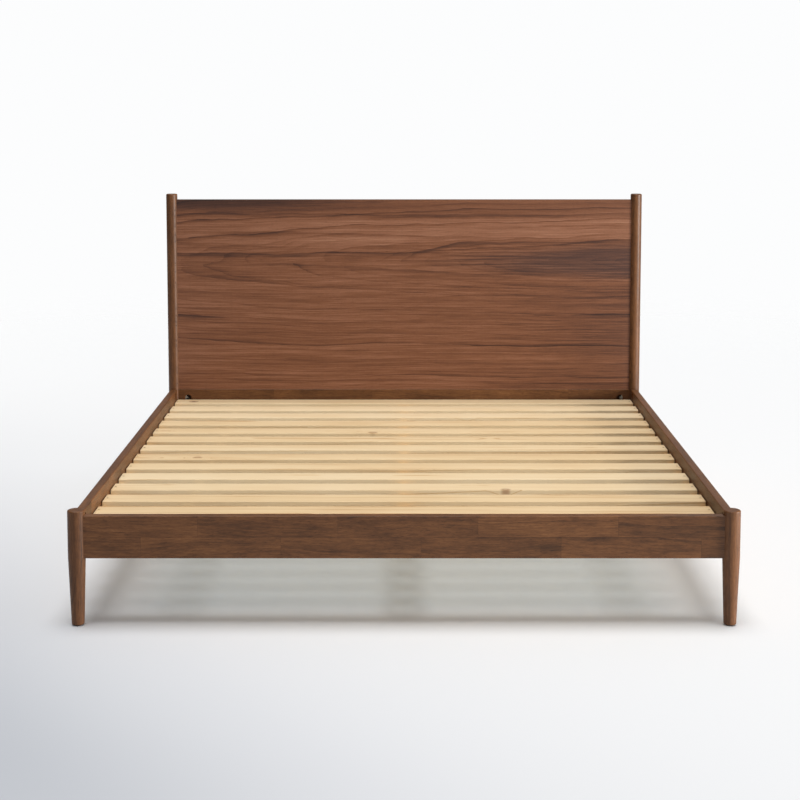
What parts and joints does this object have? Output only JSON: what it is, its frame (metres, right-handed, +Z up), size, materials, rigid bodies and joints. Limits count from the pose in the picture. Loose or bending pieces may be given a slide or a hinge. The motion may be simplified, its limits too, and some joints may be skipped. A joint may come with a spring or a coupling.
{
  "type": "bed frame",
  "caption": "King-size wooden bed frame with a flat headboard panel between tall round posts, a low foot rail between short round posts with tapered legs, and a slatted base on a centre beam.",
  "frame": {"origin": "on the floor, under the middle of the frame's length and width", "axes": "+X to the right seen from the foot end, +Y towards the head end, +Z up; the floor is Z = 0"},
  "size_m": [2.02, 2.117, 1.174],
  "materials": {
    "walnut_veneer": "satin lacquer",
    "walnut": "satin lacquer",
    "pine": "planed, unfinished",
    "beech": "fluted, unfinished",
    "zinc_steel": "zinc-plated",
    "bolt_steel": "zinc-plated",
    "screw_steel": "yellow-passivated zinc",
    "cast_zinc": "die-cast, dull",
    "nylon": "moulded, dull",
    "webbing": "woven polyester"
  },
  "bodies": {
    "frame": {"headboard_panel": "walnut_veneer", "head_post_left": "walnut", "head_post_right": "walnut", "head_rail": "walnut", "foot_rail": "walnut", "foot_post_left": "walnut", "foot_post_right": "walnut", "side_rail_left": "walnut", "side_rail_right": "walnut", "ledger_left": "pine", "ledger_right": "pine", "centre_beam": "pine", "beam_hanger_head": "zinc_steel", "beam_hanger_foot": "zinc_steel", "hanger_screws": "screw_steel", "centre_leg_front": "pine", "centre_leg_rear": "pine", "centre_leg_bolts": "bolt_steel", "leg_insert_front": "zinc_steel", "leg_insert_rear": "zinc_steel", "glide_head_left": "nylon", "glide_head_right": "nylon", "glide_foot_left": "nylon", "glide_foot_right": "nylon", "rail_bolts_head": "bolt_steel", "rail_bolts_foot": "bolt_steel", "half_moon_washers_head": "zinc_steel", "half_moon_washers_foot": "zinc_steel", "rail_nuts_head": "bolt_steel", "rail_nuts_foot": "bolt_steel", "rail_dowels_head": "beech", "rail_dowels_foot": "beech", "cam_locks": "cast_zinc", "cam_bolts": "bolt_steel", "ledger_screws_left": "screw_steel", "ledger_screws_right": "screw_steel", "slat_screws_left": "screw_steel", "slat_screws_right": "screw_steel", "slat_tape_left": "webbing", "slat_tape_right": "webbing", "tape_staples": "screw_steel", "slat_01": "pine", "slat_02": "pine", "slat_03": "pine", "slat_04": "pine", "slat_05": "pine", "slat_06": "pine", "slat_07": "pine", "slat_08": "pine", "slat_09": "pine", "slat_10": "pine", "slat_11": "pine", "slat_12": "pine", "slat_13": "pine", "slat_14": "pine"},
    "pad_front": {"foot_pad_front": "nylon"},
    "stem_front": {"foot_stem_front": "bolt_steel"},
    "pad_rear": {"foot_pad_rear": "nylon"},
    "stem_rear": {"foot_stem_rear": "bolt_steel"}
  },
  "joints": [
    {"name": "foot_travel_front", "type": "slide", "parent": "frame", "child": "pad_front", "axis": [0, 0, -1], "range_m": [-0.0075, 0.0125]},
    {"name": "foot_turn_front", "type": "hinge", "parent": "pad_front", "child": "stem_front", "pos_m": [0, -0.26, 0.02], "axis": [0, 0, -1], "range_deg": [-2160, 3600]},
    {"name": "foot_travel_rear", "type": "slide", "parent": "frame", "child": "pad_rear", "axis": [0, 0, -1], "range_m": [-0.0075, 0.0125]},
    {"name": "foot_turn_rear", "type": "hinge", "parent": "pad_rear", "child": "stem_rear", "pos_m": [0, 0.26, 0.02], "axis": [0, 0, -1], "range_deg": [-2160, 3600]}
  ],
  "couplings": [
    {"joint": "foot_turn_front", "follows": "foot_travel_front", "rad_per_m": 5026.5},
    {"joint": "foot_turn_rear", "follows": "foot_travel_rear", "rad_per_m": 5026.5}
  ]
}
